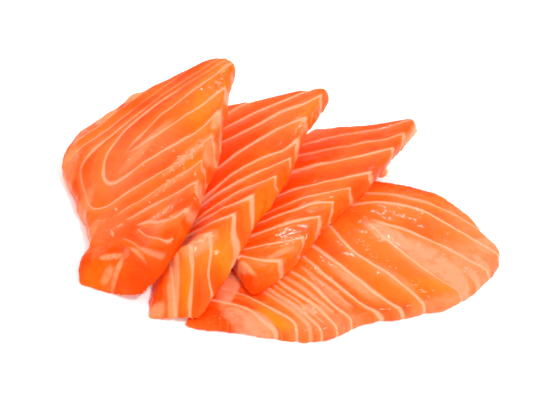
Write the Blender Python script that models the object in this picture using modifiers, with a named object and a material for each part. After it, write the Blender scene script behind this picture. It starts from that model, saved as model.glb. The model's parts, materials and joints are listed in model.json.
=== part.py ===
"""A fan of four slices of raw salmon, lying on one another as they were pushed over from the block.

Each slice is a kite-shaped slab. Its cut face has a long edge, the crease, where it meets the fillet's
own outer face. The opposite edge is thin and rests on the table. The slice on the right lies flat, and
each of the others leans with its crease on the slice to its right.

Lengths are in millimetres in the slices' tables and in metres in the scene. X runs along the row from
left to right, Y away from the viewer and Z up, and the table top is at Z = 0.
"""

from dataclasses import dataclass

import bmesh
import bpy
from mathutils import Matrix, Vector
from mathutils.bvhtree import BVHTree

MM = 0.001
CELLS_ACROSS = 8  # cage cells from the crease to the thin edge
CELLS_ALONG = 12  # cage cells from the foot to the tip
CUT_EDGE_CREASE = 0.6  # how crisp the knife left the rim of the cut face
UNDER_EDGE_CREASE = 0.45  # the rim underneath is softer
WALL_SWELL = 0.10  # how far the wall between the two rims bulges, as a share of its height
EDGE_SAMPLES = 200  # how finely an edge is read before it is divided evenly
OVERHEAD = 1000.0  # a height above everything, in mm
PROBES = 4  # the places tried each way in a cage cell when it is laid on the slices below
REST_GAP = 0.4  # the clearance kept between one slice and the next, in mm
SPREAD_ROUNDS = 5  # how widely a slice bends where another one lifts it


@dataclass(frozen=True)
class Slice:
    """One slice where it lies, in mm.

    The four edges of the cut face are runs of (X, Y, height) points. The crease runs from the foot to
    the tip, the back from the tip to the far corner, the thin edge from the heel to the far corner, and
    the foot from the crease to the heel. Each edge starts or ends on its neighbours' end points.
    """

    name: str
    crease: tuple
    back: tuple
    thin: tuple
    foot: tuple
    thick: tuple  # evenly spaced along the crease, from the foot to the tip
    flare: tuple  # how far the outer face spreads beyond the crease, spaced in the same way
    toe: tuple  # how far the end face at the foot spreads forward, from the crease to the heel
    crown: float  # how far the cut face domes in its middle
    colour: tuple


FLAT_SLICE = Slice(
    name="slice_flat",
    crease=(
        (-24.5, -32.5, 1.5), (-16, -33, 3), (-4.5, -35.5, 3.8), (5, -37.5, 4), (14, -36.5, 3.8),
        (18.5, -31, 3.6), (26.5, -30, 3.6), (36, -27.5, 3.8), (44.5, -25, 3.6), (52.5, -17.5, 3.4),
        (58.5, -7.5, 2.5),
    ),
    back=((58.5, -7.5, 2.5), (54.5, -3.5, 3.5), (50, 4.5, 4), (42.5, 12, 4.5), (32, 15, 5), (22, 17.5, 5)),
    thin=((-18, -19, 3), (-1, -3.5, 4.5), (12, 9, 4.5), (22, 17.5, 5)),
    foot=((-24.5, -32.5, 1.5), (-23, -29, 1.8), (-21.3, -24, 2.2), (-18, -19, 3)),
    thick=(8.0, 8.0, 8.0),
    flare=(0.5, 0.5, 1.0, 1.0),
    toe=(0.5, 0.0),
    crown=2.0,
    colour=(0.90, 0.25, 0.07, 1.0),
)
RIGHT_SLICE = Slice(
    name="slice_right",
    crease=(
        (-6.5, -27, 11.5), (1, -20.5, 12.5), (6, -13.5, 13.5), (13.5, -1, 13.5), (19, 5, 13.5),
        (24.5, 11, 13), (31, 21.5, 12.5), (38, 34.5, 12),
    ),
    back=((38, 34.5, 12), (31, 34, 10.5), (21.5, 35, 8), (9.5, 37, 5)),
    thin=((-14, -5, 6), (-10, 8, 5), (-3, 24, 5), (9.5, 37, 5)),
    foot=((-6.5, -27, 11.5), (-11, -17, 10), (-14, -5, 6)),
    thick=(6.0, 6.5, 6.5, 5.5, 4.5),
    flare=(0.5, 0.5, 0.5, -1.0, 1.5),
    toe=(1.0, 1.0),
    crown=0.5,
    colour=(0.88, 0.22, 0.05, 1.0),
)
MIDDLE_SLICE = Slice(
    name="slice_middle",
    crease=(
        (-24, -19, 14), (-15, -14, 16.5), (-10, -8, 18), (-6, -3.5, 19), (-0.5, 3.5, 19.5),
        (3.5, 10, 20), (6, 22.5, 20), (13.5, 38, 20),
    ),
    back=((13.5, 38, 20), (6, 38.5, 18), (-1, 39.5, 15), (-9, 40.5, 12), (-22.5, 42, 7)),
    thin=((-29.5, -18, 8), (-31, -5, 5), (-32, 12, 5), (-28, 29, 5), (-22.5, 42, 7)),
    foot=((-24, -19, 14), (-26.8, -19, 11.5), (-29.5, -18, 8)),
    thick=(14.0, 7.0, 6.0, 6.5, 5.0),
    flare=(6.0, 2.5, 0.0, 0.0, 0.5),
    toe=(8.5, 11.0, 13.0),
    crown=0.5,
    colour=(0.90, 0.23, 0.06, 1.0),
)
LEFT_SLICE = Slice(
    name="slice_left",
    crease=(
        (-33.5, -19, 10.5), (-25.5, -16, 17.5), (-22.5, -9, 20.5), (-21, 4.5, 22.5), (-18, 13.5, 23.5),
        (-16, 24, 24.5), (-12.5, 43.5, 25),
    ),
    back=(
        (-12.5, 43.5, 25), (-16, 46.5, 24.5), (-26, 43.5, 21), (-36, 41, 17), (-44.5, 38, 12.5),
        (-56, 34, 6.5),
    ),
    thin=((-52.5, -14, 5), (-49.5, -5, 5.5), (-55.5, 12, 5), (-60, 24, 5.5), (-56, 34, 6.5)),
    foot=((-33.5, -19, 10.5), (-42, -17, 8), (-52.5, -14, 5)),
    thick=(10.5, 7.5, 7.5, 6.5, 4.5),
    flare=(-1.5, 0.5, 2.5, 1.0, 0.0),
    toe=(8.0, 5.0, 3.5),
    crown=0.5,
    colour=(0.89, 0.24, 0.07, 1.0),
)
SLICES = (FLAT_SLICE, RIGHT_SLICE, MIDDLE_SLICE, LEFT_SLICE)


def hump(share):
    """1 half way along an edge and 0 at its ends."""
    return 4.0 * share * (1.0 - share)


def along_run(points, share):
    """A place on the smooth run through evenly weighted points, which are vectors or numbers."""
    spans = len(points) - 1
    span = min(int(share * spans), spans - 1)
    f = share * spans - span
    p1, p2 = points[span], points[span + 1]
    p0 = points[span - 1] if span else p1 * 2.0 - p2
    p3 = points[span + 2] if span + 2 <= spans else p2 * 2.0 - p1
    bend = (p2 - p0) * f + (p0 * 2.0 - p1 * 5.0 + p2 * 4.0 - p3) * f * f
    return p1 + (bend + (p1 * 3.0 - p0 - p2 * 3.0 + p3) * f * f * f) * 0.5


def even_run(points, count):
    """count + 1 places spaced evenly by length on the smooth run through these points."""
    fine = [along_run([Vector(p) for p in points], k / EDGE_SAMPLES) for k in range(EDGE_SAMPLES + 1)]
    reach = [0.0]
    for a, b in zip(fine, fine[1:]):
        reach.append(reach[-1] + (b - a).length)
    places = []
    k = 0
    for step in range(count + 1):
        goal = reach[-1] * step / count
        while k < EDGE_SAMPLES - 1 and reach[k + 1] < goal:
            k += 1
        share = (goal - reach[k]) / (reach[k + 1] - reach[k])
        places.append(fine[k].lerp(fine[k + 1], share))
    return places


def filled(crease, back, thin, foot, crown):
    """The places of a grid that fills four edges smoothly, row by row from the foot to the tip."""
    places = []
    for j in range(CELLS_ALONG + 1):
        t = j / CELLS_ALONG
        for i in range(CELLS_ACROSS + 1):
            s = i / CELLS_ACROSS
            place = crease[j].lerp(thin[j], s) + foot[i].lerp(back[i], t)
            place -= foot[0].lerp(foot[-1], s).lerp(back[0].lerp(back[-1], s), t)
            place.z += crown * hump(s) * hump(t)
            places.append(place)
    return places


def outward(places, k, side):
    """The level direction that points out of the face at place k of an edge, which bounds it on one side."""
    way = places[min(k + 1, len(places) - 1)] - places[max(k - 1, 0)]
    return Vector((way.y, -way.x, 0.0)).normalized() * side


def faces_of(piece):
    """The cut face's grid of places and the grid of the face under it, in mm."""
    edges = [
        even_run(piece.crease, CELLS_ALONG),
        even_run(piece.back, CELLS_ACROSS),
        even_run(piece.thin, CELLS_ALONG),
        even_run(piece.foot, CELLS_ACROSS),
    ]
    crease, _, _, foot = edges
    cut = filled(*edges, piece.crown)
    under = []
    for k, place in enumerate(cut):
        i, j = k % (CELLS_ACROSS + 1), k // (CELLS_ACROSS + 1)
        s, t = i / CELLS_ACROSS, j / CELLS_ALONG
        spread = outward(crease, j, 1.0) * along_run(piece.flare, t) * (1.0 - s) ** 2
        spread += outward(foot, i, -1.0) * along_run(piece.toe, s) * (1.0 - t) ** 3
        height = max(0.0, place.z - along_run(piece.thick, t))
        under.append(Vector((place.x + spread.x, place.y + spread.y, height)))
    return cut, under


def highest(trees, place):
    """The top of the slices already laid, at this place, in mm."""
    start = Vector((place.x, place.y, OVERHEAD)) * MM
    hits = [tree.ray_cast(start, Vector((0.0, 0.0, -1.0)))[0] for tree in trees]
    return max([hit.z / MM for hit in hits if hit], default=0.0)


def needs(under, trees):
    """How far each cage point must rise for the cells around it to clear the slices below, in mm."""
    row = CELLS_ACROSS + 1
    needed = [0.0] * len(under)
    for j in range(CELLS_ALONG):
        for i in range(CELLS_ACROSS):
            corners = (j * row + i, j * row + i + 1, (j + 1) * row + i, (j + 1) * row + i + 1)
            near_left, near_right, far_left, far_right = (under[k] for k in corners)
            for step in range(PROBES * PROBES):
                s, t = (step % PROBES) / (PROBES - 1), (step // PROBES) / (PROBES - 1)
                place = near_left.lerp(near_right, s).lerp(far_left.lerp(far_right, s), t)
                top = highest(trees, place)
                need = top + REST_GAP - place.z if top else 0.0
                for k in corners:
                    needed[k] = max(needed[k], need)
    return needed


def lifts(under, trees):
    """How far each cage point rises so that the slice bends over the ones below it, in mm."""
    needed = needs(under, trees)
    row = CELLS_ACROSS + 1
    rise = list(needed)
    for _ in range(SPREAD_ROUNDS):
        spread = []
        for k, need in enumerate(needed):
            i, j = k % row, k // row
            near = [rise[k]]
            near += [rise[k - 1]] if i else []
            near += [rise[k + 1]] if i < CELLS_ACROSS else []
            near += [rise[k - row]] if j else []
            near += [rise[k + row]] if j < CELLS_ALONG else []
            spread.append(max(need, sum(near) / len(near)))
        rise = spread
    return rise


def lay_grid(bm, places):
    """One face of the cage: a grid of cells with its points at these places."""
    made = bmesh.ops.create_grid(bm, x_segments=CELLS_ACROSS, y_segments=CELLS_ALONG, size=0.5)
    verts = sorted(made["verts"], key=lambda v: (round(v.co.y, 4), round(v.co.x, 4)))
    for vert, place in zip(verts, places):
        vert.co = place * MM
    return verts


def rim_edges(verts):
    edges = {edge for vert in verts for edge in vert.link_edges}
    return [edge for edge in edges if edge.is_boundary]


def cage_mesh(piece, trees):
    """The slice's coarse cage: the cut face, the face under it, and a wall of two rings between."""
    cut, under = faces_of(piece)
    for k, rise in enumerate(lifts(under, trees)):
        cut[k].z += rise
        under[k].z += rise
    bm = bmesh.new()
    crisp = bm.edges.layers.float.new("crease_edge")
    top_rim = rim_edges(lay_grid(bm, cut))
    low_rim = rim_edges(lay_grid(bm, under))
    for edges, sharp in ((top_rim, CUT_EDGE_CREASE), (low_rim, UNDER_EDGE_CREASE)):
        for edge in edges:
            edge[crisp] = sharp
    wall = bmesh.ops.bridge_loops(bm, edges=top_rim + low_rim)["faces"]
    rims = set(top_rim) | set(low_rim)
    posts = {edge for face in wall for edge in face.edges} - rims
    middle = cut[len(cut) // 2] * MM
    ring = bmesh.ops.subdivide_edges(bm, edges=list(posts), cuts=1)["geom_inner"]
    for vert in (v for v in ring if isinstance(v, bmesh.types.BMVert)):
        way = Vector((vert.co.x - middle.x, vert.co.y - middle.y, 0.0)).normalized()
        height = max(e.calc_length() for e in vert.link_edges if e.other_vert(vert) not in ring)
        vert.co += way * height * WALL_SWELL
    bmesh.ops.recalc_face_normals(bm, faces=bm.faces)
    mesh = bpy.data.meshes.new(piece.name)
    bm.to_mesh(mesh)
    bm.free()
    return mesh


def flesh(piece):
    """The slice's own shade of orange: moist, so fairly glossy."""
    material = bpy.data.materials.new(piece.name + "_flesh")
    material.use_nodes = True
    shader = material.node_tree.nodes["Principled BSDF"]
    shader.inputs["Base Color"].default_value = piece.colour
    shader.inputs["Roughness"].default_value = 0.3
    shader.inputs["Metallic"].default_value = 0.0
    material.diffuse_color = piece.colour
    return material


def lay_slice(piece, trees, collection):
    """Makes one slice on top of those already laid, and adds its surface to them."""
    mesh = cage_mesh(piece, trees)
    mesh.materials.append(flesh(piece))
    mesh.shade_smooth()
    obj = bpy.data.objects.new(piece.name, mesh)
    collection.objects.link(obj)
    soft = obj.modifiers.new("soft", "SUBSURF")
    soft.levels = soft.render_levels = 1
    bpy.context.view_layer.update()
    trees.append(BVHTree.FromObject(obj, bpy.context.evaluated_depsgraph_get()))
    return obj


def centre(slices):
    """Moves the fan over the table so that the middle of its outline's box is at the origin."""
    graph = bpy.context.evaluated_depsgraph_get()
    places = [vert.co for obj in slices for vert in obj.evaluated_get(graph).data.vertices]
    low = Vector((min(p.x for p in places), min(p.y for p in places), 0.0))
    high = Vector((max(p.x for p in places), max(p.y for p in places), 0.0))
    for obj in slices:
        obj.data.transform(Matrix.Translation((low + high) * -0.5))


def main():
    for obj in list(bpy.data.objects):
        bpy.data.objects.remove(obj, do_unlink=True)
    fan = bpy.data.collections.new("salmon_slices")
    bpy.context.scene.collection.children.link(fan)
    trees = []
    centre([lay_slice(piece, trees, fan) for piece in SLICES])


main()
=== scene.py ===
"""The looks of a fan of raw salmon slices: marbled flesh, fat lines, a wet film and a plain studio.

Each slice is rebuilt as a fine skin over its CAD solid. The sheets of fat between the muscle blocks are
laid out on it in plan, in millimetres, and both the relief and the colours come from them.
"""

from __future__ import annotations

import json
import logging
import math
from dataclasses import dataclass, field
from enum import Enum
from typing import Any, Sequence

import bmesh
import bpy
import numpy as np
from mathutils import Matrix, Vector, bvhtree, kdtree, noise

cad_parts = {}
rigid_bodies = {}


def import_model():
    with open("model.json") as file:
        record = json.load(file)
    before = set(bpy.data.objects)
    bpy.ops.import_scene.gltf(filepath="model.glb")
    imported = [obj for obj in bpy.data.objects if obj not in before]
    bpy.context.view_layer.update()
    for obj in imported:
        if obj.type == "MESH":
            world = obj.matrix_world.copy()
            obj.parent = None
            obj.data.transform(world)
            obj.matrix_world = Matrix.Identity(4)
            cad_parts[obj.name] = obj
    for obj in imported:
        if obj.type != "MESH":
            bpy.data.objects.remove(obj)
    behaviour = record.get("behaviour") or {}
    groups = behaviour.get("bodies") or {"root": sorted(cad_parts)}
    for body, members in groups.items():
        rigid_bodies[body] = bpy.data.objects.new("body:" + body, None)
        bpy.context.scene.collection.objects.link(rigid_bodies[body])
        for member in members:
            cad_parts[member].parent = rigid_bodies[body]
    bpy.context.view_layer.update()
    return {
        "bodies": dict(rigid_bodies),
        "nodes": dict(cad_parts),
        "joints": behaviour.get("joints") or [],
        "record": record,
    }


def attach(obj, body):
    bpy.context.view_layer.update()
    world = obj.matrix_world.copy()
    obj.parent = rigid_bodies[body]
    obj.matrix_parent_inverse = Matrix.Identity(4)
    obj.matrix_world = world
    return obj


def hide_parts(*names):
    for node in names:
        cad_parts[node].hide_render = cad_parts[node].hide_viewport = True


LOG = logging.getLogger("salmon")
MM = 0.001
ROOT = "root"
Socket = Any
Point = tuple[float, float]
Tone = tuple[float, float, float, float]

# How the lines of fat are read; lengths are in mm.
LINE_START = -0.3  # the share of a line at which its pattern begins, before its first point
SHARE_STEPS = 110  # places along a line in the pattern
FINE_STEPS = 240  # samples that measure a line
EVEN_STEPS = 40  # evenly spaced points that a line is read from
ROWS_PER_LINE = 14  # rows of the pattern from one line to the next
SHOW_EDGE = 0.05  # how gently a shown stretch begins and ends, as a share of its line
NEAR_COUNT = 0.15  # how far a place may be from its nearest row, in lines
NEAR_SHARE = 0.05  # how far it may be from its nearest column, as a share of a line
SPACING_RANGE = (0.5, 12.0)  # the least and the most mm from one line to the next
CROWDED = (0.5, 1.3)  # lines fade out as they come this close together
LINE_LENGTH = 40.0  # the usual length of a line

# How the front wall of a slice is told from its upper face.
FRONT = np.array([0.6, -0.8, 0.0])  # the way that the walls face
WALL_FROM = 0.38  # how far a face turns that way before it is wall
ROUNDED_FROM = 0.72  # the same where the crease is rounded
UPPER_FROM = 0.45  # how far up a face looks beside the crease
CREASE_STEP = 0.5  # mm from one point of the crease to the next
RISE_STEP = 0.6  # mm over which the spacing of the wall's lines is measured
WALL_SPACING_RANGE = (0.5, 8.0)  # the least and the most that it comes to
WALL_SHOW = 0.85  # how clearly lines show on the wall
SWAY_CELLS = 0.16  # swings of a line for each mm of wall

# The cut's unevenness: its height in mm, its extra height at the sides, and its swings for each mm.
UNEVEN = ((0.24, 0.5, 0.2), (0.07, 0.28, 0.45), (0.05, 0.0, 1.1))
GROOVE_WIDTH = 0.35  # mm from a line to where its groove is mostly gone


def tone(red: float, green: float, blue: float) -> Tone:
    """Turns a display colour into the linear one that shaders use.

    Args:
        red: Display red from 0 to 255.
        green: Display green from 0 to 255.
        blue: Display blue from 0 to 255.

    Returns:
        The linear colour with an alpha of 1.
    """
    shares = [value / 255.0 for value in (red, green, blue)]
    linear = [s / 12.92 if s <= 0.04045 else ((s + 0.055) / 1.055) ** 2.4 for s in shares]
    return (linear[0], linear[1], linear[2], 1.0)


def ease(value: np.ndarray, low: float, high: float) -> np.ndarray:
    """A smooth step from 0 at low to 1 at high.

    Args:
        value: The values to grade.
        low: Where the step starts.
        high: Where the step ends; it may be below low.

    Returns:
        The graded values, from 0 to 1.
    """
    share = np.clip((value - low) / (high - low), 0.0, 1.0)
    return share * share * (3.0 - 2.0 * share)


def smooth_run(points: np.ndarray, shares: np.ndarray) -> np.ndarray:
    """Reads a Catmull-Rom run through points at even weights.

    Args:
        points: The points, one a row.
        shares: Where to read it, in units of one span; outside the run it goes on straight.

    Returns:
        One place for each share.
    """
    last = len(points) - 1
    first = 2.0 * points[0] - points[1]
    beyond = 2.0 * points[last] - points[last - 1]
    padded = np.vstack([first[None], points, beyond[None]])
    held = np.clip(shares, 0.0, last)
    span = np.minimum(held.astype(int), last - 1)
    f = (held - span)[:, None]
    p0, p1, p2, p3 = (padded[span + k] for k in range(4))
    bend = 2 * p0 - 5 * p1 + 4 * p2 - p3
    twist = 3 * p1 - p0 - 3 * p2 + p3
    place = p1 + 0.5 * f * (p2 - p0 + f * (bend + f * twist))
    over = (shares - held)[:, None]
    past_end = over * (points[last] - points[last - 1])
    past_start = over * (points[1] - points[0])
    return place + np.where(over > 0, past_end, past_start)


class Bench:
    """A node tree with short ways to add nodes to it."""

    def __init__(self, tree: bpy.types.NodeTree) -> None:
        """Keeps the tree.

        Args:
            tree: The node tree to add to.
        """
        self.tree = tree

    def put(self, socket: Socket, value: Any) -> None:
        """Links or sets an input.

        Args:
            socket: The input.
            value: Another node's output, or a plain value.
        """
        if isinstance(value, bpy.types.NodeSocket):
            self.tree.links.new(value, socket)
        else:
            socket.default_value = value

    def node(self, kind: str, inputs: dict[Any, Any] | None = None, **settings: Any) -> bpy.types.Node:
        """Adds a node.

        Args:
            kind: The node's type name.
            inputs: Its inputs by name or number, as links or values.
            **settings: Its properties.

        Returns:
            The node.
        """
        made = self.tree.nodes.new(kind)
        for name, value in settings.items():
            setattr(made, name, value)
        for key, value in (inputs or {}).items():
            self.put(made.inputs[key], value)
        return made

    def sum(self, kind: str, *values: Any, clamp: bool = False) -> Socket:
        """Adds a Math node.

        Args:
            kind: The operation.
            *values: Its inputs in order.
            clamp: Whether the result is held between 0 and 1.

        Returns:
            Its output.
        """
        made = self.node("ShaderNodeMath", dict(enumerate(values)), operation=kind, use_clamp=clamp)
        return made.outputs[0]

    def step(self, value: Any, low: Any, high: Any, to_low: float = 0.0, to_high: float = 1.0) -> Socket:
        """Adds a smooth Map Range.

        Args:
            value: What to map.
            low: Where the step starts.
            high: Where it ends.
            to_low: The result at the start.
            to_high: The result at the end.

        Returns:
            Its output.
        """
        sockets = {0: value, 1: low, 2: high, 3: to_low, 4: to_high}
        made = self.node("ShaderNodeMapRange", sockets, interpolation_type="SMOOTHSTEP")
        return made.outputs[0]

    def blend(self, share: Any, first: Any, second: Any) -> Socket:
        """Adds a colour mix.

        Args:
            share: How much of the second colour there is.
            first: The colour at 0.
            second: The colour at 1.

        Returns:
            The mixed colour.
        """
        made = self.node("ShaderNodeMix", {0: share, 6: first, 7: second}, data_type="RGBA")
        return made.outputs[2]

    def noise(self, place: Any, scale: Any, detail: float = 2.0, rough: float = 0.5) -> Socket:
        """Adds a noise texture.

        Args:
            place: Where it is read.
            scale: How many of its cells fit in a metre.
            detail: How many octaves it has.
            rough: How strong the finer octaves are.

        Returns:
            Its value, from 0 to 1.
        """
        sockets = {"Vector": place, "Scale": scale, "Detail": detail, "Roughness": rough}
        return self.node("ShaderNodeTexNoise", sockets).outputs["Fac"]

    def read(self, name: str) -> Socket:
        """Reads a number stored on the mesh.

        Args:
            name: The attribute's name.

        Returns:
            Its value.
        """
        return self.node("ShaderNodeAttribute", attribute_name=name).outputs["Fac"]


class Group:
    """A shader node group with named inputs and outputs."""

    def __init__(self, name: str, inputs: dict[str, float], outputs: Sequence[str]) -> None:
        """Makes the empty group.

        Args:
            name: The group's name.
            inputs: Its numbers, with what each is when nothing sets it.
            outputs: The numbers that it gives.
        """
        self.tree = bpy.data.node_groups.new(name, "ShaderNodeTree")
        for title, value in inputs.items():
            socket = self.tree.interface.new_socket(title, in_out="INPUT", socket_type="NodeSocketFloat")
            socket.default_value = value
        for title in outputs:
            self.tree.interface.new_socket(title, in_out="OUTPUT", socket_type="NodeSocketFloat")
        self.bench = Bench(self.tree)
        self.given = self.tree.nodes.new("NodeGroupInput").outputs
        self.result = self.tree.nodes.new("NodeGroupOutput").inputs

    def give(self, **values: Socket) -> None:
        """Connects the outputs.

        Args:
            **values: A socket for each output, by the output's name in lower case.
        """
        for title, value in values.items():
            self.tree.links.new(value, self.result[title.capitalize()])

    def place(self, bench: Bench, **values: Any) -> Any:
        """Adds the group to a material.

        Args:
            bench: The material's bench.
            **values: Its inputs, by name in lower case.

        Returns:
            The node's outputs.
        """
        made = bench.node("ShaderNodeGroup", node_tree=self.tree)
        for title, value in values.items():
            bench.put(made.inputs[title.capitalize()], value)
        return made.outputs


def add_object(name: str, data: Any) -> bpy.types.Object:
    """Makes an object and puts it in the scene.

    Args:
        name: The object's name.
        data: Its mesh, lamp or lens.

    Returns:
        The object.
    """
    made = bpy.data.objects.new(name, data)
    bpy.context.scene.collection.objects.link(made)
    return made


def add_material(name: str, **values: Any) -> tuple[bpy.types.Material, Any]:
    """Makes a material and sets its shader's plain values.

    Args:
        name: The material's name.
        values: The values by the shader's own names, with _ for a space.

    Returns:
        The material and its shader.
    """
    material = bpy.data.materials.new(name)
    material.use_nodes = True
    shader = material.node_tree.nodes["Principled BSDF"]
    for title, value in values.items():
        shader.inputs[title.replace("_", " ")].default_value = value
    return material, shader


class FleshGroups:
    """The node groups that every slice's flesh shares; a noise's cells are counted for each metre."""

    DRIFT = 220.0  # cells of the noise that makes lines wander
    THICKNESS = 90.0  # cells of the noise that makes a line thick and thin
    FADE = 0.37  # what is left of the shade beside a line, one width away from it
    AHEAD = 0.3  # the shade's width on a line's upper side, as a share of that on its lower side
    SLOW = 55.0  # cells of the slow change of tone
    FINE = 420.0  # cells of the fine mottling
    STREAK = 1.5  # veins for each mm across the lines
    STRETCH = 0.16  # how much a vein is drawn out along the lines
    POOLS = 70.0  # cells of the places where the wet film is thick
    GLEAM = 300.0  # cells of the change in the film's roughness
    SWELL = 620.0  # cells of its small swells

    def __init__(self) -> None:
        """Builds them."""
        self.lines = self._fat_lines()
        self.grain = self._grain()
        self.film = self._wet_film()

    def _fat_lines(self) -> Group:
        """Builds the thin lines of fat between muscle blocks, from a count that rises by 1 a line.

        Returns:
            The group: the line's core, the pale shade beside it, and the share of the way to the next.
        """
        inputs = {"Count": 0.0, "Spacing": 5.0, "Width": 0.3, "Shade": 1.5, "Wander": 0.3}
        group = Group("fat_lines", inputs, ("Core", "Beside", "Share"))
        bench, given = group.bench, group.given
        place = bench.node("ShaderNodeTexCoord").outputs["Object"]
        drift = bench.sum("SUBTRACT", bench.noise(place, self.DRIFT), 0.5)
        drift = bench.sum("DIVIDE", bench.sum("MULTIPLY", drift, given["Wander"]), given["Spacing"])
        count = bench.sum("ADD", given["Count"], drift)
        nearest = bench.sum("ROUND", count)
        away = bench.sum("MULTIPLY", bench.sum("SUBTRACT", count, nearest), given["Spacing"])
        own = bench.node("ShaderNodeTexWhiteNoise", {"W": nearest}, noise_dimensions="1D").outputs["Value"]
        patchy = bench.step(bench.noise(place, self.THICKNESS, 1.0), 0.3, 0.7, 0.55, 1.25)
        width = bench.sum("MULTIPLY", given["Width"], bench.step(own, 0.0, 1.0, 0.7, 1.4))
        width = bench.sum("MULTIPLY", width, patchy)
        outer, inner = (bench.sum("MULTIPLY", width, share) for share in (1.5, 0.35))
        core = bench.step(bench.sum("ABSOLUTE", away), outer, inner)
        short = bench.sum("MAXIMUM", bench.sum("MULTIPLY", away, -1.0), 0.0)
        below = bench.sum("POWER", self.FADE, bench.sum("DIVIDE", short, given["Shade"]))
        past = bench.sum("MAXIMUM", away, 0.0)
        upper_width = bench.sum("MULTIPLY", given["Shade"], self.AHEAD)
        above = bench.sum("POWER", self.FADE, bench.sum("DIVIDE", past, upper_width))
        beside = bench.sum("MULTIPLY", below, above)
        group.give(core=core, beside=beside, share=bench.sum("FRACT", count))
        return group

    def _grain(self) -> Group:
        """Builds the flesh's mottling and the fine veins that run beside the fat lines.

        Returns:
            The group: a slow change of tone, a fine one, the veins, and the grain's height.
        """
        group = Group("flesh_grain", {"Along": 0.0, "Across": 0.0}, ("Slow", "Fine", "Vein", "Height"))
        bench, given = group.bench, group.given
        place = bench.node("ShaderNodeTexCoord").outputs["Object"]
        slow = bench.noise(place, self.SLOW)
        fine = bench.noise(place, self.FINE, 3.0, 0.6)
        run = bench.sum("MULTIPLY", given["Along"], self.STRETCH)
        lay = bench.node("ShaderNodeCombineXYZ", {0: run, 1: given["Across"], 2: slow})
        streak = bench.noise(lay.outputs[0], self.STREAK, 2.0, 0.6)
        height = bench.sum("ADD", bench.sum("MULTIPLY", streak, 0.9), fine)
        group.give(slow=slow, fine=fine, vein=bench.step(streak, 0.52, 0.74), height=height)
        return group

    def _wet_film(self) -> Group:
        """Builds the film of moisture: where it is thick, how it gleams, and its small swells.

        Returns:
            The group: the film's weight, its roughness and its height.
        """
        group = Group("wet_film", {"Cover": 0.7}, ("Weight", "Rough", "Height"))
        bench, given = group.bench, group.given
        place = bench.node("ShaderNodeTexCoord").outputs["Object"]
        pools = bench.step(bench.noise(place, self.POOLS), 0.35, 0.68, 0.12, 1.0)
        weight = bench.sum("MULTIPLY", pools, given["Cover"], clamp=True)
        rough = bench.step(bench.noise(place, self.GLEAM), 0.3, 0.7, 0.28, 0.46)
        group.give(weight=weight, rough=rough, height=bench.noise(place, self.SWELL, 2.0, 0.55))
        return group


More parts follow.
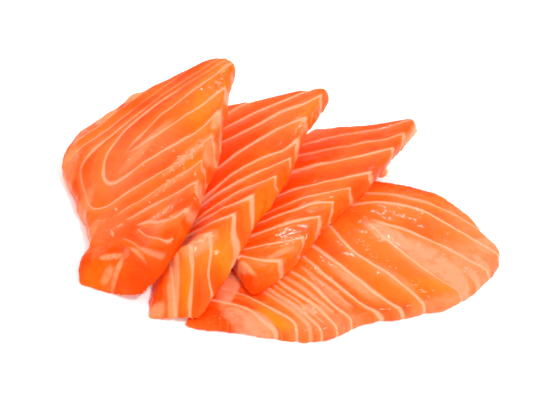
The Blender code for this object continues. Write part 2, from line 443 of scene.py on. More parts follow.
@dataclass(frozen=True)
class FleshFinish:
    """One slice's flesh: its colours and how marbled and wet it is.

    Attributes:
        deep: The darkest flesh of the mottling, and the painted shade in the crevices.
        middle: The common flesh.
        bright: The flesh just before a line of fat.
        shade: The pale shade beside a line, and the veins.
        fat: The lines' cores.
        pale: Pale flesh that light comes through, and painted highlights on some ridges and wet spots.
        veil: Faintly milky flesh.
        gold: Yellower flesh.
        line_width: Half the usual width of a line, in mm.
        line_wander: How far a line wanders, in mm.
        line_strength: How clearly the cores show.
        shade_width: How far the shade reaches, in mm.
        shade_strength: How clearly it shows.
        vein_strength: How clearly the veins show.
        wet: How much of the flesh the wet film covers.
        film_rough: The film's roughness.
        film_ior: The film's index of refraction.
        film_height: The height of its swells, in mm.
        gleam: How much light the bare flesh reflects.
        ior: The flesh's index of refraction.
        grain_height: The height of its grain, in mm.
        glow: How much light enters the flesh.
        glow_reach: How far it goes in red, green and blue, as shares of the depth.
        glow_depth: How deep it goes, in mm.
    """

    deep: Tone = tone(252, 68, 0)
    middle: Tone = tone(254, 95, 9)
    bright: Tone = tone(254, 117, 27)
    shade: Tone = tone(254, 130, 60)
    fat: Tone = tone(255, 172, 134)
    pale: Tone = tone(254, 146, 96)
    veil: Tone = tone(253, 108, 56)
    gold: Tone = tone(253, 127, 10)
    line_width: float = 0.44
    line_wander: float = 0.35
    line_strength: float = 0.85
    shade_width: float = 1.6
    shade_strength: float = 0.5
    vein_strength: float = 0.3
    wet: float = 0.85
    film_rough: float = 0.08
    film_ior: float = 1.24
    film_height: float = 0.35
    gleam: float = 0.08
    ior: float = 1.38
    grain_height: float = 0.12
    glow: float = 0.3
    glow_reach: tuple[float, float, float] = (1.0, 0.32, 0.12)
    glow_depth: float = 2.4

    def make(self, name: str, groups: FleshGroups) -> bpy.types.Material:
        """Builds the material.

        Args:
            name: The material's name.
            groups: The node groups that flesh shares.

        Returns:
            The material.
        """
        material, shader = add_material(
            name,
            IOR=self.ior,
            Specular_IOR_Level=self.gleam,
            Coat_Roughness=self.film_rough,
            Coat_IOR=self.film_ior,
            Subsurface_Weight=self.glow,
            Subsurface_Radius=self.glow_reach,
            Subsurface_Scale=self.glow_depth * MM,
        )
        bench = Bench(material.node_tree)
        spacing, count = bench.read("spacing"), bench.read("fat_count")
        widths = {"width": self.line_width, "shade": self.shade_width, "wander": self.line_wander}
        lines = groups.lines.place(bench, count=count, spacing=spacing, **widths)
        across = bench.sum("MULTIPLY", count, spacing)
        grain = groups.grain.place(bench, along=bench.read("along"), across=across)
        # Less wet film where the deep mask paints shade into the crevices.
        outside_painted_shade = bench.sum("SUBTRACT", 1.0, bench.read("deep"), clamp=True)
        film = groups.film.place(bench, cover=bench.sum("MULTIPLY", outside_painted_shade, self.wet))
        bench.put(shader.inputs["Base Color"], self._colour(bench, lines, grain))
        bench.put(shader.inputs["Roughness"], film["Rough"])
        bench.put(shader.inputs["Coat Weight"], film["Weight"])
        bench.put(shader.inputs["Normal"], self._relief(bench, grain, film))
        return material

    def _colour(self, bench: Bench, lines: Any, grain: Any) -> Socket:
        """Mixes the flesh's colour, from the common flesh up to the lines of fat, with painted shade and
        painted highlights.

        Args:
            bench: The material's bench.
            lines: The outputs of the fat lines.
            grain: The outputs of the grain.

        Returns:
            The colour.
        """
        show = bench.read("line_show")
        flesh = bench.blend(bench.step(grain["Slow"], 0.35, 0.65), self.deep, self.middle)
        rise = bench.sum("MULTIPLY", bench.sum("POWER", lines["Share"], 1.8), 0.6)
        flesh = bench.blend(bench.sum("MULTIPLY", rise, show), flesh, self.bright)
        flesh = bench.blend(bench.step(grain["Fine"], 0.45, 0.8, 0.0, 0.2), flesh, self.bright)
        flesh = bench.blend(bench.sum("MULTIPLY", grain["Vein"], self.vein_strength), flesh, self.shade)
        broken = bench.step(grain["Slow"], 0.35, 0.6, 0.55, 1.0)
        blotchy = bench.step(grain["Fine"], 0.3, 0.62, 0.55, 1.0)
        # The pale tint paints paler, fatty flesh and, in places, painted highlights on ridges and wet spots.
        for tint, colour in ((Tint.GOLD, self.gold), (Tint.VEIL, self.veil), (Tint.PALE_AND_HIGHLIGHT, self.pale)):
            share = bench.sum("MULTIPLY", bench.read(tint.value), broken)
            flesh = bench.blend(bench.sum("MULTIPLY", share, blotchy), flesh, colour)
        # Painted shade: the deep mask darkens the crevices under the slice above, and the shaded walls, to
        # the deep colour.
        flesh = bench.blend(bench.read(Tint.CREVICE_SHADE.value), flesh, self.deep)
        beside = bench.sum("MULTIPLY", lines["Beside"], show)
        flesh = bench.blend(bench.sum("MULTIPLY", beside, self.shade_strength), flesh, self.shade)
        core = bench.sum("MULTIPLY", lines["Core"], show)
        return bench.blend(bench.sum("MULTIPLY", core, self.line_strength), flesh, self.fat)

    def _relief(self, bench: Bench, grain: Any, film: Any) -> Socket:
        """Lays the film's swells over the grain.

        Args:
            bench: The material's bench.
            grain: The outputs of the grain.
            film: The outputs of the wet film.

        Returns:
            The normal.
        """
        sockets = {"Strength": 0.4, "Distance": self.grain_height * MM, "Height": grain["Height"]}
        low = bench.node("ShaderNodeBump", sockets).outputs[0]
        sockets = {"Strength": 0.6, "Distance": self.film_height * MM, "Height": film["Height"]}
        sockets["Normal"] = low
        return bench.node("ShaderNodeBump", sockets).outputs[0]


class Tint(Enum):
    """What a place on a slice is like beside the common flesh, or the light or shade painted on it there;
    each is a mask on the mesh.
    """

    # Pale flesh and fat, and on some ridges and wet spots a painted highlight.
    PALE_AND_HIGHLIGHT = "pale"
    VEIL = "veil"
    GOLD = "gold"
    # Painted shade: darker flesh in the crevices under the slice above and on walls turned from the light.
    CREVICE_SHADE = "deep"


@dataclass(frozen=True)
class Patch:
    """A place with its own tint, painted shade or painted highlight, as a soft ellipse in plan, in mm and
    degrees.
    """

    x: float
    y: float
    long: float
    wide: float
    turn: float
    amount: float
    tint: Tint = Tint.PALE_AND_HIGHLIGHT
    soft: float = 0.6

    def cover(self, places: np.ndarray) -> np.ndarray:
        """How much of it is at each place.

        Args:
            places: Points in mm.

        Returns:
            Its amount there.
        """
        angle = math.radians(self.turn)
        dx, dy = places[:, 0] - self.x, places[:, 1] - self.y
        along = (dx * math.cos(angle) + dy * math.sin(angle)) / self.long
        aside = (dy * math.cos(angle) - dx * math.sin(angle)) / self.wide
        return self.amount * ease(np.hypot(along, aside), 1.0 + self.soft / 2, 1.0 - self.soft / 2)


@dataclass(frozen=True)
class Fold:
    """A soft ridge or furrow along a run of plan points, in mm."""

    run: Sequence[Point]
    height: float
    wide: float

    def lift(self, places: np.ndarray) -> np.ndarray:
        """How far it raises each place.

        Args:
            places: Points in mm.

        Returns:
            The rise in mm.
        """
        points = np.array(self.run, float)
        shares = np.linspace(0.0, len(points) - 1.0, 60)
        fine = smooth_run(points, shares)
        fade = np.sin(np.linspace(0.12, math.pi - 0.12, len(fine))) ** 0.7
        away = np.linalg.norm(places[:, None, :2] - fine[None], axis=2)
        nearest = away.argmin(axis=1)
        return self.height * fade[nearest] * np.exp(-((away.min(axis=1) / self.wide) ** 2))


@dataclass(frozen=True)
class FatLine:
    """One line of fat in plan, in mm, from the crease inwards.

    Attributes:
        run: Its points.
        shown: The stretches that show, each as (start share, end share, strength).
    """

    run: Sequence[Point]
    shown: Sequence[tuple[float, float, float]] = ((-1.0, 2.0, 1.0),)


@dataclass
class FatSheets:
    """The sheets of fat across part of a slice, as the lines that they draw on it in plan.

    Attributes:
        lines: The lines in order.
        first: The first line's number; each next one counts 1 more.
        before: How many lines the pattern goes on for before the first.
        after: How many it goes on for after the last.
        overshoot: How far past its ends a line is carried on, as a share of it.
        echo: How clearly the lines that only carry the pattern on show.
    """

    lines: Sequence[FatLine]
    first: float = 0.0
    before: float = 1.5
    after: float = 1.5
    overshoot: float = 0.5
    echo: float = 0.8

    def lattice(self) -> tuple[np.ndarray, np.ndarray, np.ndarray]:
        """Fills the space between and around the lines.

        Returns:
            The lattice's places, its shares along a line, and its counts across lines.
        """
        shares = np.linspace(LINE_START, 1.0 + self.overshoot, SHARE_STEPS)
        rows = []
        for line in self.lines:
            points = np.array(line.run, float)
            fine = smooth_run(points, np.linspace(0.0, len(points) - 1.0, FINE_STEPS))
            reach = np.concatenate([[0.0], np.cumsum(np.linalg.norm(np.diff(fine, axis=0), axis=1))])
            marks = np.linspace(0, reach[-1], EVEN_STEPS)
            even = np.stack([np.interp(marks, reach, fine[:, k]) for k in (0, 1)], 1)
            rows.append(smooth_run(even, shares * (EVEN_STEPS - 1)))
        steps = np.arange(-self.before, len(rows) - 1 + self.after + 1e-6, 1.0 / ROWS_PER_LINE)
        stack = np.array(rows)
        places = np.stack([smooth_run(stack[:, j], steps) for j in range(stack.shape[1])], 1)
        return places, shares, steps + self.first

    def show(self, count: np.ndarray, share: np.ndarray) -> np.ndarray:
        """How clearly the line nearest to each place shows there.

        Args:
            count: The count of lines up to each place.
            share: The share of the way along the line.

        Returns:
            Its strength.
        """
        nearest = np.round(count - self.first).astype(int)
        strength = np.full(len(count), self.echo)
        strength[nearest < -self.before + 0.5] = 0.0
        for k, line in enumerate(self.lines):
            mine = nearest == k
            level = np.zeros(mine.sum())
            for start, end, amount in line.shown:
                opening = ease(share[mine], start - SHOW_EDGE, start + SHOW_EDGE)
                closing = ease(share[mine], end + SHOW_EDGE, end - SHOW_EDGE)
                level = np.maximum(level, amount * opening * closing)
            strength[mine] = level
        return strength


@dataclass
class Reading:
    """What the sheets of fat are like at a set of places."""

    count: np.ndarray
    share: np.ndarray
    spacing: np.ndarray
    show: np.ndarray


def read_sheets(sheets: Sequence[FatSheets], places: np.ndarray) -> Reading:
    """Reads a slice's sheets of fat at places in plan.

    Args:
        sheets: The sheets; each place belongs to the nearest.
        places: Points in mm; only x and y count.

    Returns:
        The readings.
    """
    plans = [each.lattice() for each in sheets]
    tree = kdtree.KDTree(sum(plan[0].shape[0] * plan[0].shape[1] for plan in plans))
    starts = np.cumsum([0] + [plan[0].shape[0] * plan[0].shape[1] for plan in plans])
    for plan, start in zip(plans, starts):
        for k, (x, y) in enumerate(plan[0].reshape(-1, 2)):
            tree.insert((x, y, 0.0), int(start) + k)
    tree.balance()
    found = np.array([tree.find((x, y, 0.0))[1] for x, y in places[:, :2]])
    owner = np.searchsorted(starts, found, side="right") - 1
    reading = Reading(*(np.zeros(len(places)) for _ in range(4)))
    for which, (lattice, shares, counts) in enumerate(plans):
        mine = owner == which
        local = found[mine] - starts[which]
        width = lattice.shape[1]
        i = np.clip(local // width, 1, lattice.shape[0] - 2)
        j = np.clip(local % width, 1, width - 2)
        per_line = (lattice[i + 1, j] - lattice[i - 1, j]) / (counts[2] - counts[0])
        per_share = (lattice[i, j + 1] - lattice[i, j - 1]) / (shares[2] - shares[0])
        left = places[mine, :2] - lattice[i, j]
        area = per_share[:, 0] * per_line[:, 1] - per_share[:, 1] * per_line[:, 0]
        area = np.where(np.abs(area) < 1e-4, 1e-4, area)
        step = (per_share[:, 0] * left[:, 1] - per_share[:, 1] * left[:, 0]) / area
        slide = (left[:, 0] * per_line[:, 1] - left[:, 1] * per_line[:, 0]) / area
        count = counts[i] + np.clip(step, -NEAR_COUNT, NEAR_COUNT)
        share = shares[j] + np.clip(slide, -NEAR_SHARE, NEAR_SHARE)
        spacing = np.abs(area) / np.maximum(np.linalg.norm(per_share, axis=1), 1e-6)
        reading.count[mine] = count
        reading.share[mine] = share
        reading.spacing[mine] = np.clip(spacing, *SPACING_RANGE)
        reading.show[mine] = sheets[which].show(count, share) * ease(spacing, *CROWDED)
    return reading


@dataclass
class SalmonSlice:
    """One slice of salmon, as a fine skin over its CAD solid.

    Attributes:
        node: The CAD node that the slice replaces.
        slot: The record's material slot; not used.
        sheets: Its sheets of fat.
        finish: Its flesh.
        patches: Its places with a tint of their own, with painted shade in its crevices, or with painted
            highlights.
        folds: Its soft ridges and furrows.
        turns: Whether the lines of fat turn at the crease and run down the wall.
        wall_start: The x in mm where lines begin on the wall.
        soft_below: The y in mm below which the crease is rounded, so that only the steepest part is wall.
        lean: How far the wall's lines move right for each mm that they drop.
        sway: How far the wall's lines wander to either side, in mm.
        seed: Where its noise starts, so that no two slices are alike.
        cell: The size of the skin's cells in mm.
        plump: How far the whole skin is swollen, in mm, to close in on its neighbours.
        bulge: How far the muscle blocks swell between the lines, in mm.
        groove: How deep the lines lie, in mm.
    """

    node: str
    slot: str
    sheets: Sequence[FatSheets]
    finish: FleshFinish = FleshFinish()
    patches: Sequence[Patch] = ()
    folds: Sequence[Fold] = ()
    turns: bool = True
    wall_start: float = -99.0
    soft_below: float = -99.0
    lean: float = 0.0
    sway: float = 1.8
    seed: float = 0.0
    cell: float = 0.4
    plump: float = 0.17
    bulge: float = 0.28
    groove: float = 0.12
    places: np.ndarray = field(default=None, repr=False)
    normals: np.ndarray = field(default=None, repr=False)

    def build(self, frame: dict[str, Any]) -> bpy.types.Object:
        """Makes the slice's skin with its relief.

        Args:
            frame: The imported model.

        Returns:
            The slice.
        """
        slice_object = self._skin(frame["nodes"][self.node])
        mesh = slice_object.data
        self.places = self._read(mesh.vertices, "co") / MM
        self.normals = self._read(mesh.vertices, "normal")
        reading = read_sheets(self.sheets, self.places)
        along = reading.share * LINE_LENGTH
        if self.turns:
            self._turn_down(mesh, reading, along)
        masks = {tint.value: np.zeros(len(self.places)) for tint in Tint}
        for patch in self.patches:
            masks[patch.tint.value] = np.maximum(masks[patch.tint.value], patch.cover(self.places))
        self._swell(mesh, reading)
        masks |= {"fat_count": reading.count, "along": along, "spacing": reading.spacing}
        masks["line_show"] = reading.show
        for title, values in masks.items():
            layer = mesh.attributes.new(title, "FLOAT", "POINT")
            layer.data.foreach_set("value", values.astype(np.float32))
        mesh.shade_smooth()
        return slice_object

    def dress(self, slice_object: bpy.types.Object, groups: FleshGroups) -> None:
        """Gives the slice its flesh and its place in the model.

        Args:
            slice_object: The slice.
            groups: The node groups that flesh shares.
        """
        slice_object.data.materials.clear()
        slice_object.data.materials.append(self.finish.make(self.node + "_flesh", groups))
        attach(slice_object, ROOT)
        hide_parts(self.node)

    def _skin(self, solid: bpy.types.Object) -> bpy.types.Object:
        """Covers the CAD solid with small even cells.

        Args:
            solid: The CAD node's object.

        Returns:
            The skin.
        """
        rough = add_object("rough_" + self.node, solid.data.copy())
        cells = rough.modifiers.new("cells", "REMESH")
        cells.mode = "VOXEL"
        cells.voxel_size = self.cell * MM
        even = rough.modifiers.new("even", "SMOOTH")
        even.factor = 0.5
        even.iterations = 7
        bpy.context.view_layer.update()
        graph = bpy.context.evaluated_depsgraph_get()
        mesh = bpy.data.meshes.new_from_object(rough.evaluated_get(graph))
        bpy.data.objects.remove(rough)
        mesh.name = self.node.replace("slice", "salmon")
        return add_object(mesh.name, mesh)

    @staticmethod
    def _read(items: Any, title: str) -> np.ndarray:
        """Reads a vector of every item of a mesh.

        Args:
            items: The mesh's vertices.
            title: The vector's name.

        Returns:
            One vector a row.
        """
        flat = np.empty(len(items) * 3, np.float32)
        items.foreach_get(title, flat)
        return flat.reshape(-1, 3).astype(float)

    def _turn_down(self, mesh: bpy.types.Mesh, reading: Reading, along: np.ndarray) -> None:
        """Makes the lines of fat turn at the crease and run down the wall beyond it.

        Args:
            mesh: The skin's mesh.
            reading: The readings, which change on the wall.
            along: The mm along the lines, which change there too.
        """
        least = np.where(self.places[:, 1] < self.soft_below, ROUNDED_FROM, WALL_FROM)
        wall = self.normals @ FRONT > least
        crease = self._crease(mesh, wall)
        counts = np.maximum.accumulate(read_sheets(self.sheets, crease).count)
        height = np.interp(self.places[wall, 0], crease[:, 0], crease[:, 2])
        drop = np.maximum(height - self.places[wall, 2], 0.0)
        spots = self.places[wall] * SWAY_CELLS
        wander = np.array([noise.noise(Vector((x, z, self.seed))) for x, _, z in spots])
        x = self.places[wall, 0] - self.lean * drop + self.sway * wander * ease(drop, 0.5, 5.0)
        count = np.interp(x, crease[:, 0], counts)
        rise = np.interp(x + RISE_STEP, crease[:, 0], counts) - count
        reading.count[wall] = count
        reading.spacing[wall] = np.clip(RISE_STEP / np.maximum(rise, 0.05), *WALL_SPACING_RANGE)
        reading.show[wall] = WALL_SHOW * ease(x, self.wall_start - 1.0, self.wall_start + 1.0)
        along[wall] = -drop

    def _crease(self, mesh: bpy.types.Mesh, wall: np.ndarray) -> np.ndarray:
        """Finds the crease between the upper face and the wall.

        Args:
            mesh: The skin's mesh.
            wall: Which of its vertices are wall.

        Returns:
            Points along it in mm, in order of x.
        """
        ends = np.empty(len(mesh.edges) * 2, np.int32)
        mesh.edges.foreach_get("vertices", ends)
        ends = ends.reshape(-1, 2)
        rim = ends[wall[ends[:, 0]] != wall[ends[:, 1]]]
        inner = np.where(wall[rim[:, 0]], rim[:, 1], rim[:, 0])
        inner = inner[self.normals[inner, 2] > UPPER_FROM]
        order = inner[np.argsort(self.places[inner, 0])]
        marks = np.arange(self.places[order[0], 0], self.places[order[-1], 0], CREASE_STEP)
        held = np.digitize(self.places[order, 0], marks)
        groups = [order[held == k] for k in range(1, len(marks) + 1)]
        return np.array([self.places[group].mean(0) for group in groups if len(group)])

    def _swell(self, mesh: bpy.types.Mesh, reading: Reading) -> None:
        """Raises the muscle blocks, sinks the lines, lays the folds and roughens the cut.

        Args:
            mesh: The skin's mesh.
            reading: The sheets of fat at each point.
        """
        share = reading.count - np.floor(reading.count)
        away = np.minimum(share, 1.0 - share) * reading.spacing
        block = (4.0 * share * (1.0 - share)) ** 0.6 * np.clip(reading.spacing / 4.0, 0.3, 1.2) - 0.5
        height = self.plump + self.bulge * block * np.clip(reading.show + 0.15, 0.0, 1.0)
        height -= self.groove * reading.show * np.exp(-((away / GROOVE_WIDTH) ** 2))
        here = [Vector(p) + Vector((self.seed, 0.0, 0.0)) for p in self.places]
        side = (1.0 - np.abs(self.normals[:, 2])) ** 2
        for amount, at_side, cells in UNEVEN:
            height += (amount + at_side * side) * np.array([noise.noise(p * cells) for p in here])
        top = ease(self.normals[:, 2], 0.0, 0.5)
        for fold in self.folds:
            height += fold.lift(self.places) * top
        moved = self.places + self.normals * height[:, None]
        moved[:, 2] = np.maximum(moved[:, 2], 0.0)
        mesh.vertices.foreach_set("co", (moved * MM).astype(np.float32).ravel())
        mesh.update()


@dataclass(frozen=True)
class Sprinkle:
    """A scatter of beads of moisture on one slice, in mm and degrees.

    Attributes:
        on: The name of the slice's node.
        x: The middle of the scatter.
        y: The middle of the scatter.
        long: Its half length.
        wide: Its half width.
        turn: How far its length is turned from the x axis.
        count: How many beads it has.
        small: The smallest bead's radius.
        large: The largest bead's radius.
    """

    on: str
    x: float
    y: float
    long: float
    wide: float
    turn: float
    count: int
    small: float
    large: float


@dataclass(frozen=True)
class Drop:
    """One larger drop that clings to a slice.

    Attributes:
        on: The name of the slice's node.
        place: A point beside it, in mm.
        size: The drop's radius in mm.
    """

    on: str
    place: tuple[float, float, float]
    size: float


@dataclass
class Moisture:
    """Small beads of water that cling to the flesh.

    Attributes:
        sprinkles: The scatters of beads.
        drops: The larger drops.
        seed: Where the random draws start.
        dome: A bead's height as a share of its radius.
        drop_dome: A larger drop's height as a share of its radius.
        spread: How widely beads lie about their scatter's middle, as a share of its half size.
        stretch: The least and the most that a bead is drawn out.
        spin: How far a bead is turned from its scatter, in radians.
        above: The height in mm from which the flesh is sought.
    """

    sprinkles: Sequence[Sprinkle]
    drops: Sequence[Drop]
    seed: int = 7
    dome: float = 0.32
    drop_dome: float = 0.8
    spread: float = 0.5
    stretch: Point = (1.4, 3.8)
    spin: float = 0.25
    above: float = 60.0

    def build(self, skins: dict[str, bpy.types.Object]) -> bpy.types.Object:
        """Makes all the beads as one mesh.

        Args:
            skins: The slices by the names of their nodes.

        Returns:
            The beads.
        """
        draw = np.random.default_rng(self.seed)
        bm = bmesh.new()
        graph = bpy.context.evaluated_depsgraph_get()
        trees = {name: bvhtree.BVHTree.FromObject(skin, graph) for name, skin in skins.items()}
        for sprinkle in self.sprinkles:
            angle = math.radians(sprinkle.turn)
            for _ in range(sprinkle.count):
                u, v = draw.normal(0.0, self.spread, 2)
                size = draw.uniform(sprinkle.small, sprinkle.large)
                stretch = draw.uniform(*self.stretch)
                spin = angle + draw.normal(0.0, self.spin)
                dx, dy = u * sprinkle.long, v * sprinkle.wide
                x = sprinkle.x + dx * math.cos(angle) - dy * math.sin(angle)
                y = sprinkle.y + dx * math.sin(angle) + dy * math.cos(angle)
                start = Vector((x, y, self.above)) * MM
                spot, normal, _, _ = trees[sprinkle.on].ray_cast(start, Vector((0.0, 0.0, -1.0)))
                if spot is not None:
                    self._bead(bm, spot, normal, (size * stretch, size, size * self.dome), spin)
        for drop in self.drops:
            spot, normal, _, _ = trees[drop.on].find_nearest(Vector(drop.place) * MM)
            self._bead(bm, spot, normal, (drop.size, drop.size, drop.size * self.drop_dome), 0.0)
        mesh = bpy.data.meshes.new("moisture_beads")
        bm.to_mesh(mesh)
        bm.free()
        mesh.shade_smooth()
        return add_object("moisture_beads", mesh)

    @staticmethod
    def _bead(
        bm: bmesh.types.BMesh, spot: Vector, normal: Vector, radii: Sequence[float], spin: float
    ) -> None:
        """Adds one bead.

        Args:
            bm: The mesh to add it to.
            spot: The point of the flesh that it sits on.
            normal: The way that it faces.
            radii: Its half length, half width and height in mm.
            spin: How far it is turned.
        """
        turn = normal.to_track_quat("Z", "Y").to_matrix().to_4x4() @ Matrix.Rotation(spin, 4, "Z")
        shape = Matrix.Diagonal([radius * MM for radius in radii] + [1.0])
        matrix = Matrix.Translation(spot) @ turn @ shape
        bmesh.ops.create_icosphere(bm, subdivisions=2, radius=1.0, matrix=matrix)

    @staticmethod
    def dress(beads: bpy.types.Object) -> None:
        """Makes the beads cloudy, with the flesh's colour in them, and gives them their place.

        Args:
            beads: The beads.
        """
        glow = {"Subsurface_Weight": 0.4, "Subsurface_Radius": (1.0, 0.4, 0.2)}
        material, shader = add_material("clear_moisture", IOR=1.4, Subsurface_Scale=0.8 * MM, **glow)
        bench = Bench(material.node_tree)
        speckle = bench.noise(bench.node("ShaderNodeTexCoord").outputs["Object"], 900.0)
        bench.put(shader.inputs["Roughness"], bench.step(speckle, 0.3, 0.7, 0.04, 0.14))
        milky = bench.blend(bench.step(speckle, 0.35, 0.65), tone(255, 138, 84), tone(255, 172, 132))
        bench.put(shader.inputs["Base Color"], milky)
        beads.data.materials.append(material)
        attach(beads, ROOT)


@dataclass
class Studio:
    """A plain pale floor, soft lights and the camera.

    Attributes:
        aim: The point that the camera looks at, in mm.
        tilt: The camera's height angle in degrees.
        distance: From the camera to the aim, in mm.
        lens: The focal length for a 36 mm wide sensor.
        glow: The strength of the white surroundings.
        floor_half: Half the floor's width, in m.
        floor_drop: How far the floor lies under the slices, in mm.
        floor_shade: How much of the light the floor gives back.
        floor_glow: How much it shines by itself.
    """

    aim: tuple[float, float, float] = (-1.83, -3.15, 12.93)
    tilt: float = 45.0
    distance: float = 500.0
    lens: float = 126.7
    glow: float = 0.86
    floor_half: float = 2.0
    floor_drop: float = 0.05
    floor_shade: float = 0.97
    floor_glow: float = 0.14

    def build(self) -> None:
        """Makes the camera, the floor, the surroundings and the lights."""
        self._camera()
        self._floor()
        self._surroundings()
        self._light("key_light", place=(150, -210, 450), size=(120, 18), power=1.4)
        self._light("back_light", place=(-120, 420, 330), size=(120, 14), power=0.45)
        self._light("sheen_light", place=(60, 440, 385), size=(140, 10), power=0.35)

    def _camera(self) -> None:
        """Places the camera and makes it the scene's."""
        lens = bpy.data.cameras.new("camera")
        lens.sensor_width = 36.0
        lens.lens = self.lens
        lens.clip_start = 0.01
        camera = add_object("camera", lens)
        angle = math.radians(self.tilt)
        back = Vector((0.0, -math.cos(angle), math.sin(angle)))
        camera.location = (Vector(self.aim) + back * self.distance) * MM
        camera.rotation_euler = back.to_track_quat("Z", "Y").to_euler()
        bpy.context.scene.camera = camera

    def _floor(self) -> None:
        """Lays the floor."""
        half, shade = self.floor_half, self.floor_shade
        mesh = bpy.data.meshes.new("floor")
        corners = [(-half, -half, 0.0), (half, -half, 0.0), (half, half, 0.0), (-half, half, 0.0)]
        mesh.from_pydata(corners, [], [(0, 1, 2, 3)])
        floor = add_object("floor", mesh)
        floor.location.z = -self.floor_drop * MM
        material, _ = add_material(
            "pale_floor",
            Base_Color=(shade, shade, shade, 1.0),
            Roughness=0.9,
            Emission_Color=(1.0, 1.0, 1.0, 1.0),
            Emission_Strength=self.floor_glow,
            Specular_IOR_Level=0.0,
        )
        mesh.materials.append(material)

    def _surroundings(self) -> None:
        """Sets white surroundings and a plain display of colours."""
        world = bpy.data.worlds.new("surroundings")
        world.use_nodes = True
        sky = world.node_tree.nodes["Background"]
        sky.inputs["Color"].default_value = (1.0, 1.0, 1.0, 1.0)
        sky.inputs["Strength"].default_value = self.glow
        bpy.context.scene.world = world
        bpy.context.scene.view_settings.view_transform = "Standard"

    def _light(self, name: str, place: tuple[float, float, float], size: Point, power: float) -> None:
        """Adds a soft light that faces the aim.

        Args:
            name: The light's name.
            place: Where it stands, in mm.
            size: Its width and height, in mm.
            power: Its power in watts.
        """
        lamp = bpy.data.lights.new(name, "AREA")
        lamp.shape = "RECTANGLE"
        lamp.size = size[0] * MM
        lamp.size_y = size[1] * MM
        lamp.energy = power
        light = add_object(name, lamp)
        light.location = Vector(place) * MM
        light.rotation_euler = (Vector(place) - Vector(self.aim)).to_track_quat("Z", "Y").to_euler()


LEFT_FOOT_LINES = (
    FatLine(((-27, -24.6), (-30, -24.2), (-33.7, -22), (-37.8, -16.6), (-41.5, -12.4)), ((0.1, 0.9, 0.5),)),
    FatLine(((-23.4, -19.6), (-26, -21.8), (-29, -22), (-33, -18.3), (-36, -13.8)), ((-1, 1, 0.9),)),
    FatLine(((-22.9, -16.6), (-26.5, -17.5), (-30.3, -15.6), (-33, -13.4), (-36, -12.5)), ((-1, 1, 1),)),
    FatLine(((-21.6, -7.5), (-26.3, -9), (-30.6, -8.8), (-34.3, -8.7), (-38, -9)), ((-1, 1.05, 0.8),)),
    FatLine(
        ((-19.1, 2.2), (-22.6, -0.9), (-28.4, -2.7), (-34.5, -4.7), (-39.9, -5.4), (-41.5, -6)),
        ((-1, 1, 1),),
    ),
)
LEFT_FACE_LINES = (
    FatLine(
        (
            (-21.6, -7.5), (-26.3, -9), (-30.6, -8.8), (-38, -9), (-43, -10.5), (-48.5, -9),
            (-53, -2), (-56.5, 8), (-59.5, 17), (-59, 25), (-54, 29.5), (-47, 33), (-38, 36.5), (-28, 40),
        ),
        ((-1, 0.27, 0.8),),
    ),
    FatLine(
        (
            (-19.1, 2.2), (-22.6, -0.9), (-28.4, -2.7), (-34.5, -4.7), (-39.9, -5.4), (-45.4, -5.8),
            (-49.1, -3.2), (-52.3, 2.7), (-54.5, 9.2), (-56.3, 15.8), (-55.6, 20.5), (-52.7, 22.5),
            (-47.1, 24.8), (-40.3, 28.8), (-32, 34), (-25, 39),
        ),
        ((-1, 0.3, 1), (0.62, 0.82, 0.9), (0.82, 1.2, 0.35)),
    ),
    FatLine(
        (
            (-17.4, 10.2), (-22.3, 5.3), (-28.9, 2.3), (-36.7, 0.3), (-42.6, -1.3), (-46.5, -1.5),
            (-49.6, 0.5), (-51.3, 5.3), (-52.8, 10.7), (-53, 14.2), (-51, 17.5), (-47.5, 20), (-42.8, 23.2),
            (-36, 28), (-28, 33), (-20, 38),
        ),
        ((-1, 0.42, 1), (0.42, 0.56, 0.45), (0.56, 0.8, 1), (0.8, 1.2, 0.4)),
    ),
    FatLine(
        (
            (-14.7, 19.5), (-21, 13.3), (-30, 9.5), (-35.9, 7.4), (-40.5, 5.2), (-43.5, 4.9),
            (-45.8, 7), (-46.7, 10.5), (-46.2, 14.5), (-43.7, 19), (-38.4, 24), (-32.7, 28),
            (-24.6, 32.8), (-16, 38),
        ),
        ((-1, 0.85, 1), (0.85, 1.2, 0.3)),
    ),
    FatLine(
        (
            (-13.5, 28.6), (-17.2, 25), (-21.2, 22), (-25.5, 19.8), (-31.9, 16.3), (-37.6, 14),
            (-40.4, 13.9), (-38.8, 16), (-35.5, 19), (-31.5, 23), (-28.2, 25.2), (-23.1, 29.3),
            (-17, 33.8), (-12.9, 37.4),
        ),
        ((-1, 0.44, 1), (0.48, 2, 0.8)),
    ),
    FatLine(
        (
            (-12.5, 33), (-16, 29.8), (-20, 26.8), (-24, 24), (-30, 20), (-35, 17), (-36.5, 16.3),
            (-34, 17.9), (-30, 20.4), (-24, 24.3), (-20, 27.2), (-16, 30.2), (-12.5, 33.4),
        ),
        (),
    ),
)
LEFT_SHEETS = (
    FatSheets(LEFT_FOOT_LINES, before=1.0, after=0.4, overshoot=0.15, echo=0.0),
    FatSheets(LEFT_FACE_LINES, first=3.0, before=0.5, after=0.0, overshoot=0.05, echo=0.0),
)
MIDDLE_LINES = (
    FatLine(((-20.5, -24), (-22.5, -22), (-25, -19.5), (-27, -17))),
    FatLine(((-14.5, -19.5), (-18.5, -20), (-22.5, -18.5), (-26, -17))),
    FatLine(((-9, -14), (-14, -15.5), (-18, -15), (-22, -14.5))),
    FatLine(((-5, -8.5), (-9, -10), (-13.5, -10), (-18, -10.5))),
    FatLine(((0, -1), (-4, -2.5), (-9, -4), (-13.5, -5.5), (-18.5, -8))),
    FatLine(((4, 6), (0, 4), (-6.5, 2), (-13, -0.5), (-18.5, -3.5))),
    FatLine(((6, 13), (2, 9.5), (-4.5, 8), (-11, 5.5), (-17.5, 0))),
    FatLine(((7, 21), (2, 19.5), (-3, 17.5), (-9, 14.5), (-15.5, 10))),
    FatLine(((11.5, 30), (7, 27.5), (1.5, 26.5), (-4.5, 24), (-12.5, 21.5))),
    FatLine(((12, 35), (3.5, 32), (-2, 31), (-7.5, 29.5), (-13, 27.5))),
)
MIDDLE_SHEETS = (FatSheets(MIDDLE_LINES),)
